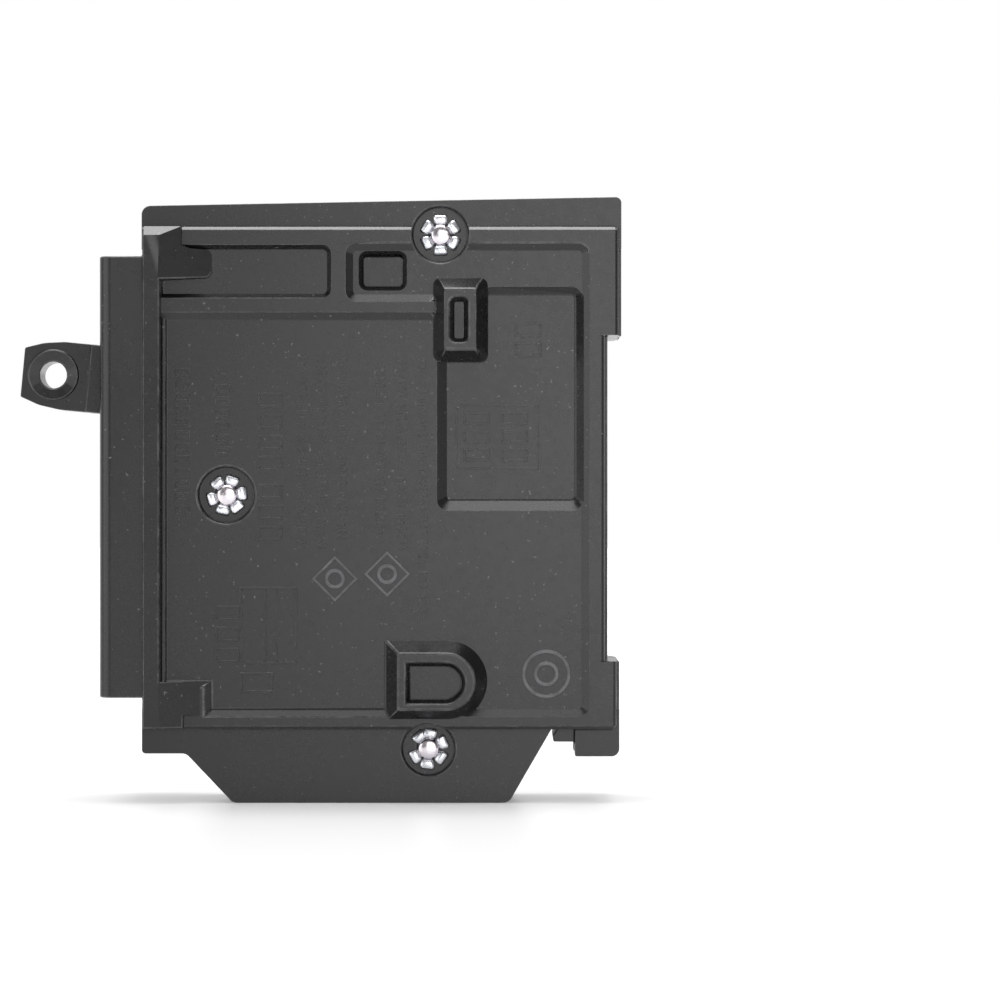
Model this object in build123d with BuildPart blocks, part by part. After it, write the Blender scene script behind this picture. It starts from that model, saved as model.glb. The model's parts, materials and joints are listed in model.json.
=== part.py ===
from build123d import *
import os
from math import cos, radians, sin

# Plug-on circuit breaker, one pole, for a 25.4 mm panel space, as separate pieces.
# Frame: +Z runs from the wire end up to the jaw end, the handle points to -X, the panel side
# is +X. The origin lies under the middle of the bounding box. All sizes in millimetres.

os.makedirs("parts", exist_ok=True)

# ---- driving dimensions ---------------------------------------------------------------
POLE_PITCH = 25.4          # one panel space, over the raised ribs and bosses
HEIGHT = 76.7
BACK = 38.31               # back of the two end blocks
FRONT = -22.2              # front wall of the body
NOSE = -27.6               # front of the nose around the handle

HALF_PITCH = POLE_PITCH / 2
HALF_NOSE = 11.4
HALF_BODY = 10.84
HALF_STRIP = 9.2           # top strip, above the ledge
HALF_FOOT = 8.75           # tapered foot and rail hook, below the ledge
HALF_CAVITY = 8.4
HALF_FOOT_CAVITY = 7.2

BODY_LOW, BODY_HIGH = 9.41, 72.84
HOOK_BACK = BACK - 0.25
MID_BACK = 36.57           # back wall between the two end blocks
LOW_BLOCK_TOP, HIGH_BLOCK_LOW = 17.98, 59.16
NOSE_LOW, NOSE_HIGH = 13.4, 69.1
BACK_MARGIN = 0.42         # the back wall's margins stand this far forward of its middle
HALF_BACK = 8.35           # half width of that middle
LEDGE_CHAMFER = 0.4

PARTING_HIGH, PARTING_LOW, PARTING_STEP = 1.65, 3.4, 18.4

RIB_FRONT, RIB_EDGE, RIB_FOOT = -22.0, -19.9, -19.76   # rib behind the nose: its flat, then its root
RECESS_FRONT = -20.4       # the recesses begin under the rib
LABEL_DEPTH = 0.55         # label area below the side face
PANEL_DEPTH = 0.9          # stepped panel below the label area
TRAY_DEPTH = 0.9           # long tray below the side face
RAMP_END = -13.45          # where the rib's two gussets run out

# ---- mechanism ------------------------------------------------------------------------
PIVOT_X, PIVOT_Z = -13.7, 52.4
PIVOT = (PIVOT_X, PIVOT_Z)
HANDLE_REST = 5.4          # tilt of the handle above level in its tripped place
HANDLE_SWING = 24.5        # tilt at ON, and below level at OFF
ARM_RATIO = -1.6           # contact arm against handle, per degree of handle
HANDLE_TIP = 24.44         # from the pivot
TIE_HOLE, TIE_RADIUS = 20.52, 1.71
ARM_OFFSET = (4.8, -0.4)   # arm pin from the handle pivot, at rest
ARM_PIN = 0.8
CONTACT_X, CONTACT_Z = 17.2, 59.2
CONTACT_GAP = 0.03
RUNNING = 0.05             # radial clearance of a shaft in its hole

LEVER_X, LEVER_Z = -3.0, 64.5
LEVER_LENGTH = 38.9
LEVER_REST = -66.8         # direction of the trip lever when tripped
LATCH_X, LATCH_Z = 21.6, 39.2
LEVER_IN, LEVER_OUT = 3.6, 5.2   # the trip lever's faces

SCREW_Z = 10.2             # height of the binding screw
SCREW_ACCESS = 2.95        # radius of the screwdriver's way in
SLOT_LOW, SLOT_HIGH, SLOT_HALF = 41.1, 63.7, 4.3     # the handle's slot in the nose
# x, z, height of the seat from the middle, counterbore radius
RIVETS = [(15.42, 71.89, 8.6, 3.6), (-11.61, 38.98, 9.0, 3.6), (13.90, 6.83, 8.0, 3.4)]
RIVET_HOLE = 1.45

BASE, COVER = -1, 1
OVERLAP = 4.0              # each half is first made this far past the middle, then cut


def at_y(y):
    """Plane across Y at y, with the sketch's axes along +X and +Z; extrude(-d) goes to +Y."""
    return Plane.XZ.offset(-y)


def turned(point, centre, angle):
    """Point (x, z) turned by angle degrees about +Y through centre."""
    dx, dz = point[0] - centre[0], point[1] - centre[1]
    c, s = cos(radians(angle)), sin(radians(angle))
    return (centre[0] + dx * c + dz * s, centre[1] - dx * s + dz * c)


# ---- the case -------------------------------------------------------------------------
def corners(sketch, radius, *places):
    """Rounds the sketch's corners nearest to the given (x, z) places."""
    for x, z in places:
        nearest = min(sketch.vertices(), key=lambda v: (v.X - x) ** 2 + (v.Y - z) ** 2)
        fillet(nearest, radius)


def gusset(side, outline, end):
    """Ramp from the rib's flat down to |y| = end, inside an outline of (x, z) corners."""
    inner = side * (HALF_BODY - 1.2)
    with BuildPart() as ramp:
        with BuildSketch(at_y(inner)) as face:
            Polygon(*outline)
            corners(face, 0.9, *[p for p in outline if p[0] == RAMP_END])
        extrude(amount=-side * (HALF_PITCH - HALF_BODY + 1.2))
        with BuildSketch(Plane.XY):
            Polygon((RIB_FRONT, inner), (RIB_FRONT, side * HALF_PITCH), (RIB_EDGE, side * HALF_PITCH),
                    (RAMP_END, side * end), (RAMP_END, inner))
        extrude(amount=HEIGHT, mode=Mode.INTERSECT)
    return ramp.part


def raised_features(side):
    """Rib behind the nose and its two gussets."""
    inner = side * (HALF_BODY - 1.0)
    with BuildPart() as rib:
        with BuildSketch(Plane.XY.offset(9.6)):
            Polygon((RIB_FRONT, inner), (RIB_FRONT, side * HALF_PITCH), (RIB_EDGE, side * HALF_PITCH),
                    (RIB_FOOT, side * (HALF_BODY - LABEL_DEPTH)), (RIB_FOOT, inner))
        extrude(amount=BODY_HIGH - 9.6)
        # low ledge along the rib's root, inside the label area
        with BuildSketch(Plane.XY.offset(15.0)):
            Polygon((RIB_FRONT, inner), (RIB_FRONT, side * (HALF_BODY - 0.3)), (-19.3, side * (HALF_BODY - 0.3)),
                    (-19.15, side * (HALF_BODY - LABEL_DEPTH)), (-19.15, inner))
        extrude(amount=61.3 - 15.0)
        add(gusset(side, [(-20.5, BODY_HIGH), (-17.25, BODY_HIGH), (-17.25, 70.5), (-16.2, 70.1),
                          (RAMP_END, 69.9), (RAMP_END, 66.4), (-20.5, 66.1)], HALF_BODY - TRAY_DEPTH))
        add(gusset(side, [(-20.5, 15.4), (RAMP_END, 15.6), (RAMP_END, 11.2), (-17.0, 11.2), (-17.0, 9.6),
                          (-20.5, 9.6)], HALF_BODY - LABEL_DEPTH))
        top = rib.edges().filter_by(Plane.XY).group_by(Axis.Z)[-1]
        chamfer([e for e in top if abs(e.center().Y) > HALF_PITCH - 0.1], 1.15)
    return rib.part


def bosses(side):
    """Chamfered rectangular boss and D-shaped boss, standing on the label area."""
    foot = side * (HALF_BODY - LABEL_DEPTH - 0.1)
    rise = -side * (HALF_PITCH - HALF_BODY + LABEL_DEPTH + 0.1)
    with BuildPart() as boss:
        with BuildSketch(at_y(foot)):
            with Locations((17.95, 61.1)):
                RectangleRounded(7.0, 10.7, 1.0)
        extrude(amount=rise, taper=31)
        with BuildSketch(at_y(foot)) as d_shape:
            with BuildLine():
                Polyline((16.2, 20.7), (8.45, 20.7), (8.45, 10.3), (16.2, 10.3))
                ThreePointArc((16.2, 10.3), (21.4, 15.5), (16.2, 20.7))
            make_face()
        extrude(amount=rise, taper=33)
    return boss.part


def case_half(side):
    """One moulded half shell. The base is the -Y half, the cover the +Y half."""
    rib = raised_features(side)
    boss = bosses(side)
    out = -side                      # extrude(amount=out * d) goes outwards by d
    inner = -side * OVERLAP          # where the half is first made from

    with BuildPart() as shell:
        # body between the ledges, in three heights, the back wall's margins set forward
        steps = [(BODY_LOW, LOW_BLOCK_TOP, HOOK_BACK), (LOW_BLOCK_TOP, HIGH_BLOCK_LOW, MID_BACK),
                 (HIGH_BLOCK_LOW, BODY_HIGH, BACK)]
        for low, high, back in steps:
            with BuildSketch(Plane.XY.offset(low)) as plan:
                margin = back - BACK_MARGIN
                Polygon((FRONT, inner), (back, inner), (back, side * HALF_BACK), (margin, side * HALF_BACK),
                        (margin, side * HALF_BODY), (FRONT, side * HALF_BODY))
                corners(plan, 0.5, (margin, side * HALF_BODY))
            extrude(amount=high - low)
        for level in (-1, 0):
            rim = shell.edges().group_by(Axis.Z)[level]
            rim = [e for e in rim if abs(e.center().Y) > HALF_BODY - 0.3]
            rim = [e for e in rim if e.center().X > FRONT + 0.1]
            chamfer(rim, LEDGE_CHAMFER)

        # nose around the handle
        with BuildSketch(Plane.XY.offset(NOSE_LOW)) as plan:
            Polygon((NOSE, inner), (FRONT + 1, inner), (FRONT + 1, side * HALF_NOSE),
                    (NOSE, side * HALF_NOSE))
            corners(plan, 1.5, (NOSE, side * HALF_NOSE))
        extrude(amount=NOSE_HIGH - NOSE_LOW)

        # top strip above the ledge, its roof falls slightly to the front
        with BuildSketch(at_y(inner)) as strip:
            Polygon((-22.4, 70), (BACK, 70), (BACK, HEIGHT), (-22.4, HEIGHT - 1.13))
            corners(strip, 1.15, (-22.4, HEIGHT - 1.13))
            corners(strip, 0.75, (BACK, HEIGHT))
        extrude(amount=out * (HALF_STRIP + OVERLAP))

        # tapered foot with the wire terminal, and the rail hook behind it
        with BuildSketch(at_y(inner)) as foot:
            Polygon((-22.4, 12), (-22.4, 6.24), (-16.8, 6.24), (-10.85, 0), (24.05, 0),
                    (29.45, 9.3), (29.45, 12))
            corners(foot, 0.5, (-22.4, 6.24))
            corners(foot, 1.2, (-16.8, 6.24), (-10.85, 0), (24.05, 0))
            with BuildLine():
                Polyline((32.44, 12), (32.44, 5.88), (HOOK_BACK, 5.88), (HOOK_BACK, 12), close=True)
            make_face()
            corners(foot, 1.0, (HOOK_BACK, 5.88))
            corners(foot, 0.25, (32.44, 5.88))
        extrude(amount=out * (HALF_FOOT + OVERLAP))
        with BuildSketch(at_y(inner)):
            with Locations((31.2, 10.0)):
                Rectangle(3.0, 4.6)
        extrude(amount=out * (8.0 + OVERLAP))

        # label area, stepped panel and long tray, all sunk in the side face with sloping walls
        label_floor = HALF_BODY - LABEL_DEPTH
        with BuildSketch(at_y(side * label_floor)) as label:
            Polygon((RECESS_FRONT, 61.1), (16.0, 61.1), (16.0, 64.3), (4.4, 64.3), (4.4, 69.85),
                    (33.3, 69.85), (33.3, 11.96), (RAMP_END, 11.96), (RAMP_END, 15.7), (RECESS_FRONT, 15.7))
            corners(label, 0.5, (4.4, 64.3), (4.4, 69.85), (33.3, 69.85), (33.3, 11.96))
        extrude(amount=out * (LABEL_DEPTH + 0.05), taper=-60, mode=Mode.SUBTRACT)
        with BuildSketch(at_y(side * (label_floor - PANEL_DEPTH))):
            with Locations((24.35, 51.35)):
                RectangleRounded(16.3, 26.0, 0.6)
        with BuildSketch(at_y(side * (label_floor + 0.5))):
            with Locations((24.1, 51.0)):
                RectangleRounded(19.6, 29.6, 1.85)
        loft(mode=Mode.SUBTRACT)
        with BuildSketch(at_y(side * (HALF_BODY - TRAY_DEPTH))) as tray:
            Polygon((RECESS_FRONT, 64.4), (1.1, 64.4), (1.1, 70.0), (RECESS_FRONT, 70.0))
            corners(tray, 0.6, (1.1, 64.4), (1.1, 70.0))
        extrude(amount=out * 2, taper=-32, mode=Mode.SUBTRACT)

        add(rib)
        add(boss)

        # blind pockets in the bosses and beside the long tray
        if side == BASE:
            with BuildSketch(at_y(side * 8.2)) as pocket:
                with Locations((8.15, 67.3)):
                    RectangleRounded(4.9, 3.8, 0.5)
            extrude(amount=out * 4, taper=-16, mode=Mode.SUBTRACT)
        with BuildSketch(at_y(side * 10.6)):
            with Locations((17.8, 61.05)):
                RectangleRounded(1.3, 4.7, 0.3)
        extrude(amount=out * 3, taper=-14, mode=Mode.SUBTRACT)
        with BuildSketch(at_y(side * 10.9)):
            with BuildLine():
                Polyline((16.0, 17.5), (11.5, 17.5), (11.5, 13.1), (16.0, 13.1))
                ThreePointArc((16.0, 13.1), (18.2, 15.3), (16.0, 17.5))
            make_face()
        extrude(amount=out * 3, taper=-12, mode=Mode.SUBTRACT)

        # hollow inside: mechanism room, nose, foot and jaw room
        with BuildSketch(at_y(inner)):
            Polygon((-20.8, 11), (28, 11), (28, 13.2), (34.9, 13.2), (34.9, 68.6), (-20.8, 68.6))
            Polygon((-26.0, 38), (-20, 38), (-20, 67), (-26.0, 67))
            Polygon((26, 68), (34.9, 68), (34.9, 74.3), (26, 74.3))
        extrude(amount=out * (HALF_CAVITY + OVERLAP), mode=Mode.SUBTRACT)
        with BuildSketch(at_y(inner)):
            Polygon((-20.8, 11.5), (-20.8, 7.1), (-15.86, 7.1), (-10.62, 1.6), (23.2, 1.6), (28, 9.9),
                    (28, 11.5))
        extrude(amount=out * (HALF_FOOT_CAVITY + OVERLAP), mode=Mode.SUBTRACT)

        # posts round the rivets, thicker at the wall that carries the counterbore
        for x, z, seat, bore in RIVETS:
            with BuildSketch(at_y(inner)):
                with Locations((x, z)):
                    Circle(3.0)
            extrude(amount=out * (seat - 0.2 + OVERLAP))
            with BuildSketch(at_y(side * 6.4)):
                with Locations((x, z)):
                    Circle(bore + 0.5)
            extrude(amount=out * (seat - 6.4))
        # pad behind the square pocket, and bearings for the handle and the trip lever
        if side == BASE:
            with BuildSketch(at_y(side * 6.3)):
                Polygon((3.6, 63.4), (12.8, 63.4), (12.8, 69), (3.6, 69))
            extrude(amount=out * 2.2)
        with BuildSketch(at_y(side * 5.4)):
            with Locations((PIVOT_X, PIVOT_Z)):
                Circle(3.2)
        extrude(amount=out * 3.1)
        with BuildSketch(at_y(LEVER_OUT + 0.2 if side == COVER else 0)):
            with Locations((LEVER_X, LEVER_Z)):
                Circle(2.4)
        extrude(amount=out * (HALF_CAVITY + 0.1 - (LEVER_OUT + 0.2 if side == COVER else 0)))

        # counterbores and through holes of the rivets, blind holes of the two pins
        for x, z, seat, bore in RIVETS:
            with BuildSketch(at_y(side * seat)):
                with Locations((x, z)):
                    Circle(bore)
            extrude(amount=out * 5, mode=Mode.SUBTRACT)
            with BuildSketch(at_y(-side * 5)):
                with Locations((x, z)):
                    Circle(RIVET_HOLE)
            extrude(amount=out * 18, mode=Mode.SUBTRACT)
        with BuildSketch(at_y(0)):
            with Locations((PIVOT_X, PIVOT_Z)):
                Circle(1.5)
            with Locations((LEVER_X, LEVER_Z)):
                Circle(1.2)
        extrude(amount=out * HALF_CAVITY, mode=Mode.SUBTRACT)

        # jaw slot in the back block: open above, closed below by a sill with a ramp
        with BuildSketch(at_y(-1.95)):
            Polygon((BACK + 1, 58.6), (BACK, 59.1), (35.9, 61.5), (35.9, 65.4), (30, 65.4), (30, 71.1),
                    (BACK + 1, 71.1))
        extrude(amount=-3.9, mode=Mode.SUBTRACT)
        with BuildSketch(Plane.YZ.offset(33)):
            Polygon((-1.95, 68.9), (-4.3, 71.1), (-HALF_CAVITY, 71.2), (-HALF_CAVITY, 74.3),
                    (HALF_CAVITY, 74.3), (HALF_CAVITY, 71.2), (4.0, 71.1), (1.95, 68.9))
        extrude(amount=8, mode=Mode.SUBTRACT)
        # notch with a ramp in the roof's back edge
        with BuildSketch(at_y(-3.4)):
            Polygon((36.7, HEIGHT + 1), (36.7, HEIGHT), (38.0, 75.2), (BACK + 1, 75.2),
                    (BACK + 1, HEIGHT + 1))
        extrude(amount=-4.7, mode=Mode.SUBTRACT)
        # square windows of the back block, barely sunk
        with BuildSketch(Plane.YZ.offset(BACK - 0.12)):
            with Locations((side * 5.3, 62.1)):
                Rectangle(5.8, 5.6)
        extrude(amount=1, mode=Mode.SUBTRACT)

        # gap of the rail hook
        with BuildSketch(Plane.YZ.offset(30.95)):
            Polygon((-4.9, 0), (3.3, 0), (3.3, 11.4), (-4.9, 11.4))
        extrude(amount=9, mode=Mode.SUBTRACT)
        # back slope of the foot, sunk between its side lips
        with BuildSketch(at_y(inner)):
            Polygon((24.6, -0.3), (30.5, 10.0), (29.0, 9.3), (23.6, 0.0))
        extrude(amount=out * (8.05 + OVERLAP), mode=Mode.SUBTRACT)

        # slot for the handle, way in for the screwdriver, way in for the wires
        with BuildSketch(Plane.YZ.offset(NOSE - 1)):
            Polygon((-SLOT_HALF, SLOT_LOW), (SLOT_HALF, SLOT_LOW), (SLOT_HALF, SLOT_HIGH),
                    (-SLOT_HALF, SLOT_HIGH))
        extrude(amount=4, mode=Mode.SUBTRACT)
        with BuildSketch(Plane.YZ.offset(FRONT - 1)):
            with Locations((0, SCREW_Z)):
                Circle(SCREW_ACCESS)
        extrude(amount=3.5, mode=Mode.SUBTRACT)
        with BuildSketch(Plane.XY.offset(-1)):
            with Locations((-13.5, 0)):
                Rectangle(4.4, 11.6)
        extrude(amount=9.2, mode=Mode.SUBTRACT)

        # the joint between the halves steps sideways near the foot
        with BuildSketch(Plane.YZ.offset(-40)):
            far = -side * 30
            Polygon((PARTING_HIGH, 90), (PARTING_HIGH, PARTING_STEP), (PARTING_LOW, PARTING_STEP),
                    (PARTING_LOW, -5), (far, -5), (far, 90))
        extrude(amount=90, mode=Mode.SUBTRACT)
        if side == BASE:
            # plain on and off marks on the nose: a bar and a ring
            with BuildSketch(Plane.YZ.offset(NOSE - 0.2)):
                with Locations((-0.4, 65.45)):
                    Rectangle(0.9, 3.2)
                with Locations((-0.4, 37.8)):
                    Circle(1.7)
                    Circle(1.0, mode=Mode.SUBTRACT)
            extrude(amount=0.3)
    return shell.part


# ---- operating lever and contact arm --------------------------------------------------
def handle_plane(y):
    """Across Y at y, its x axis from the pivot to the handle's tip, its y axis upwards."""
    c, s = cos(radians(HANDLE_REST)), sin(radians(HANDLE_REST))
    return Plane(origin=(PIVOT_X, y, PIVOT_Z), x_dir=(-c, 0, s), z_dir=(0, 1, 0))


def make_handle():
    """Blade with the tie hole, hub, and the curved shield that closes the case's slot."""
    c, s = cos(radians(HANDLE_REST)), sin(radians(HANDLE_REST))
    pin = (-ARM_OFFSET[0] * c + ARM_OFFSET[1] * s, ARM_OFFSET[0] * s + ARM_OFFSET[1] * c)
    with BuildPart() as lever:
        with BuildSketch(handle_plane(-4.0)):
            Polygon((3, -4.35), (16.0, -4.35), (16.0, 4.35), (3, 4.35))
        extrude(amount=8.0)
        with BuildSketch(handle_plane(-3.6)) as blade:
            Polygon((15, 4.35), (19.4, 4.35), (22.0, 4.0), (HANDLE_TIP, 3.15), (HANDLE_TIP, -3.15),
                    (22.0, -4.0), (19.4, -4.35), (15, -4.35))
            corners(blade, 0.3, (HANDLE_TIP, 3.15), (HANDLE_TIP, -3.15))
            corners(blade, 5.0, (22.0, 4.0), (22.0, -4.0))
        extrude(amount=7.2)
        # eye round the tie hole
        with BuildSketch(handle_plane(-4.0)):
            with Locations((TIE_HOLE, 0)):
                Circle(3.2)
        extrude(amount=8.0)
        with BuildSketch(handle_plane(-5.2)):
            Circle(7.0)
        extrude(amount=10.4)
        with BuildSketch(handle_plane(-5.2)):
            Circle(10.2)
            Circle(9.2, mode=Mode.SUBTRACT)
            Polygon((0, 0), (5, 12.4), (20, 12.4), (20, -12.4), (5, -12.4), mode=Mode.INTERSECT)
        extrude(amount=10.4)
        with BuildSketch(handle_plane(-7)):
            Circle(1.5 + RUNNING)
            with Locations((TIE_HOLE, 0)):
                Circle(TIE_RADIUS)
        extrude(amount=14, mode=Mode.SUBTRACT)
        # slot in the hub for the contact arm, and the hole of its pin
        with BuildSketch(handle_plane(-1.0)):
            Polygon((-2.6, -9), (-2.6, 9), (-9, 9), (-9, -9))
        extrude(amount=2.0, mode=Mode.SUBTRACT)
        with BuildSketch(handle_plane(-7)):
            with Locations(pin):
                Circle(ARM_PIN)
        extrude(amount=14, mode=Mode.SUBTRACT)
    return lever.part


ARM_REST = (PIVOT_X + ARM_OFFSET[0], PIVOT_Z + ARM_OFFSET[1])
ON_TURN = HANDLE_SWING - HANDLE_REST
ARM_CLOSED = turned(ARM_REST, PIVOT, ON_TURN)
ARM_OPENING = -ON_TURN * (1 + ARM_RATIO)      # how far the arm stands open at rest
PAD_X = CONTACT_X - ARM_CLOSED[0]
PAD_Z = CONTACT_Z - CONTACT_GAP - 1.0 - ARM_CLOSED[1]
HOOK_HOLE = (14.0, 3.2)


def arm_plane(y):
    """Across Y at y, along the contact arm; level when the contacts are closed."""
    c, s = cos(radians(ARM_OPENING)), sin(radians(ARM_OPENING))
    return Plane(origin=(ARM_REST[0], y, ARM_REST[1]), x_dir=(c, 0, -s), z_dir=(0, -1, 0))


handle = make_handle()

with BuildPart() as contact_arm:
    with BuildSketch(arm_plane(0.8)):
        Circle(2.0)
        Polygon((0, 2.0), (0, -2.0), (PAD_X - 4, PAD_Z - 4.5), (PAD_X + 2.6, PAD_Z - 2.2),
                (PAD_X + 2.6, PAD_Z), (PAD_X - 3, PAD_Z), (6, 3.2))
    extrude(amount=1.6)
    with BuildSketch(arm_plane(2.5)):
        with Locations((PAD_X, PAD_Z - 0.6)):
            Rectangle(5.2, 1.2)
    extrude(amount=5.0)
    with BuildSketch(arm_plane(3)):
        Circle(ARM_PIN + RUNNING)
        with Locations(HOOK_HOLE):
            Circle(0.7)
    extrude(amount=6, mode=Mode.SUBTRACT)

with BuildPart() as moving_contact:
    face = arm_plane(0)
    centre = face.from_local_coords((PAD_X, PAD_Z, 0))
    with BuildSketch(Plane(origin=centre, x_dir=face.x_dir, z_dir=face.y_dir)):
        Circle(2.3)
    extrude(amount=1.0)

with BuildPart() as contact_arm_pin:
    with BuildSketch(at_y(-5.2)):
        with Locations(ARM_REST):
            Circle(ARM_PIN)
    extrude(amount=-10.4)

with BuildPart() as handle_pivot_pin:
    with BuildSketch(at_y(-HALF_CAVITY)):
        with Locations(PIVOT):
            Circle(1.5)
    extrude(amount=-2 * HALF_CAVITY)


# ---- trip lever, its spring, armature and magnet --------------------------------------
def lever_plane(y):
    """Across Y at y, along the trip lever from its pivot, when tripped."""
    c, s = cos(radians(LEVER_REST)), sin(radians(LEVER_REST))
    return Plane(origin=(LEVER_X, y, LEVER_Z), x_dir=(c, 0, s), z_dir=(0, -1, 0))


with BuildPart() as trip_lever:
    with BuildSketch(lever_plane(LEVER_OUT)) as plate:
        Circle(2.6)
        Polygon((0, 2.6), (0, -2.6), (20, -3.2), (27, -3.4), (33, -2.0), (LEVER_LENGTH, -0.4),
                (LEVER_LENGTH, 1.0), (34, 1.6), (25, 2.2))
    extrude(amount=LEVER_OUT - LEVER_IN)
    with BuildSketch(lever_plane(8)):
        Circle(1.2 + RUNNING)
        with Locations((26.2, -1.8)):
            Circle(0.7)
    extrude(amount=8, mode=Mode.SUBTRACT)

with BuildPart() as trip_lever_pin:
    with BuildSketch(at_y(-HALF_CAVITY)):
        with Locations((LEVER_X, LEVER_Z)):
            Circle(1.2)
    extrude(amount=-2 * HALF_CAVITY)

ARM_HOOK = arm_plane(0).from_local_coords((HOOK_HOLE[0], HOOK_HOLE[1], 0))
LEVER_HOOK = lever_plane(0).from_local_coords((26.2, -1.8, 0))
SPRING_Y, SPRING_WIRE, SPRING_RADIUS = 2.0, 0.25, 1.15
COIL_TOP, COIL_TURNS = 49.6, 9


def spring_line(z):
    """Point of the spring's axis at height z."""
    part_way = (z - LEVER_HOOK.Z) / (ARM_HOOK.Z - LEVER_HOOK.Z)
    return Vector(LEVER_HOOK.X + part_way * (ARM_HOOK.X - LEVER_HOOK.X), SPRING_Y, z)


coil_low = spring_line(COIL_TOP - COIL_TURNS * 0.85)
coil_high = spring_line(COIL_TOP)
coil_axis = coil_high - coil_low
with BuildPart() as toggle_spring:
    with BuildLine() as coil:
        Helix(pitch=coil_axis.length / COIL_TURNS, height=coil_axis.length, radius=SPRING_RADIUS,
              center=coil_low, direction=coil_axis)
    with BuildSketch(Plane(origin=coil.line @ 0, z_dir=coil.line % 0)):
        Circle(SPRING_WIRE)
    sweep()
    # straight hooks from the coil's two ends to the holes they hang in
    hooks = [(coil.line @ 1, ARM_HOOK, -1.3), (coil.line @ 0, LEVER_HOOK, 5.9)]
    for start, hole, end_y in hooks:
        near_y = 1.25 if end_y < 0 else LEVER_IN - 0.45
        with BuildLine() as hook:
            Polyline(start, (hole.X, near_y, hole.Z), (hole.X, end_y, hole.Z))
        with BuildSketch(Plane(origin=start, z_dir=hook.line % 0)):
            Circle(SPRING_WIRE)
        sweep(path=hook.line, transition=Transition.ROUND)

YOKE_BACK, YOKE_FRONT = 27.0, 23.4
BIMETAL_X, BIMETAL_THICK = 26.0, 1.0

with BuildPart() as armature:
    with BuildSketch(at_y(-3.3)):
        Polygon((21.0, 27.2), (22.2, 27.2), (22.2, LATCH_Z), (21.0, LATCH_Z))
    extrude(amount=-9.3)
    with BuildSketch(at_y(-3.3)):
        with Locations((LATCH_X, LATCH_Z)):
            Circle(1.5)
    extrude(amount=-6.6)
    with BuildSketch(at_y(-4)):
        with Locations((LATCH_X, LATCH_Z)):
            Circle(0.8 + RUNNING)
    extrude(amount=-11, mode=Mode.SUBTRACT)
    # latch window and the relief above the pin's knuckle
    with BuildSketch(Plane.YZ.offset(20)):
        Polygon((LEVER_IN - 0.5, 30.8), (LEVER_OUT + 0.3, 30.8), (LEVER_OUT + 0.3, 36.4),
                (LEVER_IN - 0.5, 36.4))
        Polygon((3.3, 37.2), (7, 37.2), (7, 41), (3.3, 41))
    extrude(amount=4, mode=Mode.SUBTRACT)

with BuildPart() as magnet_yoke:
    with BuildSketch(at_y(-4.8)):
        Polygon((YOKE_FRONT, 26), (28.2, 26), (28.2, 37.6), (25.4, 37.6), (24.4, 40.6), (20.4, 40.6),
                (20.4, 37.8), (YOKE_FRONT, 37.5))
    extrude(amount=-9.6)
    with BuildSketch(at_y(-3.6)):
        Polygon((15, 20), (YOKE_BACK, 20), (YOKE_BACK, 50), (15, 50))
    extrude(amount=-7.2, mode=Mode.SUBTRACT)
    with BuildSketch(at_y(-6)):
        with Locations((LATCH_X, LATCH_Z)):
            Circle(0.8)
    extrude(amount=-12, mode=Mode.SUBTRACT)

with BuildPart() as armature_pin:
    with BuildSketch(at_y(-5.4)):
        with Locations((LATCH_X, LATCH_Z)):
            Circle(0.8)
    extrude(amount=-10.8)

with BuildPart() as bimetal:
    with BuildSketch(at_y(-2.8)):
        Polygon((BIMETAL_X, 15.4), (BIMETAL_X + BIMETAL_THICK, 15.4), (BIMETAL_X + BIMETAL_THICK, 44.5),
                (BIMETAL_X, 44.5))
    extrude(amount=-5.6)

with BuildPart() as armature_spring:
    with BuildLine() as coil:
        Helix(pitch=0.68, height=3.4, radius=1.0, center=(22.4, 0, 33), direction=(1, 0, 0))
    with BuildSketch(Plane(origin=coil.line @ 0, z_dir=coil.line % 0)):
        Circle(0.18)
    sweep()

# ---- load side: strap, calibration screw, binding screw, wire clamp -------------------
STRAP_X, STRAP_THICK = -11.5, 1.2
HEAD_X, HEAD_LENGTH = -20.2, 3.0
SHANK_RADIUS, HEAD_RADIUS = 2.0, 3.0

with BuildPart() as load_strap:
    with BuildSketch(at_y(-3.5)):
        Polygon((STRAP_X, 4.6), (STRAP_X + STRAP_THICK, 4.6), (STRAP_X + STRAP_THICK, 13.6), (28.2, 13.6),
                (28.2, 24.5), (27.0, 24.5), (27.0, 14.8), (STRAP_X, 14.8))
    extrude(amount=-7.0)
    with BuildSketch(Plane.YZ.offset(STRAP_X - 1)):
        with Locations((0, SCREW_Z)):
            Circle(SHANK_RADIUS + RUNNING)
    extrude(amount=4, mode=Mode.SUBTRACT)
    with BuildSketch(Plane.YZ.offset(26)):
        with Locations((0, 21)):
            Circle(1.25)
    extrude(amount=4, mode=Mode.SUBTRACT)

with BuildPart() as calibration_screw:
    with BuildSketch(Plane.YZ.offset(27.0)):
        with Locations((0, 21)):
            Circle(1.25)
    extrude(amount=4.4)
    with BuildSketch(Plane.YZ.offset(30.7)):
        with Locations((0, 21)):
            Rectangle(0.5, 3)
    extrude(amount=1, mode=Mode.SUBTRACT)

with BuildPart() as pressure_plate:
    with BuildSketch(Plane.YZ.offset(HEAD_X + HEAD_LENGTH + RUNNING)) as plate:
        with Locations((0, SCREW_Z)):
            RectangleRounded(9.2, 5.9, 0.8)
            Circle(SHANK_RADIUS + 0.15, mode=Mode.SUBTRACT)
    extrude(amount=1.4)

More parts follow.
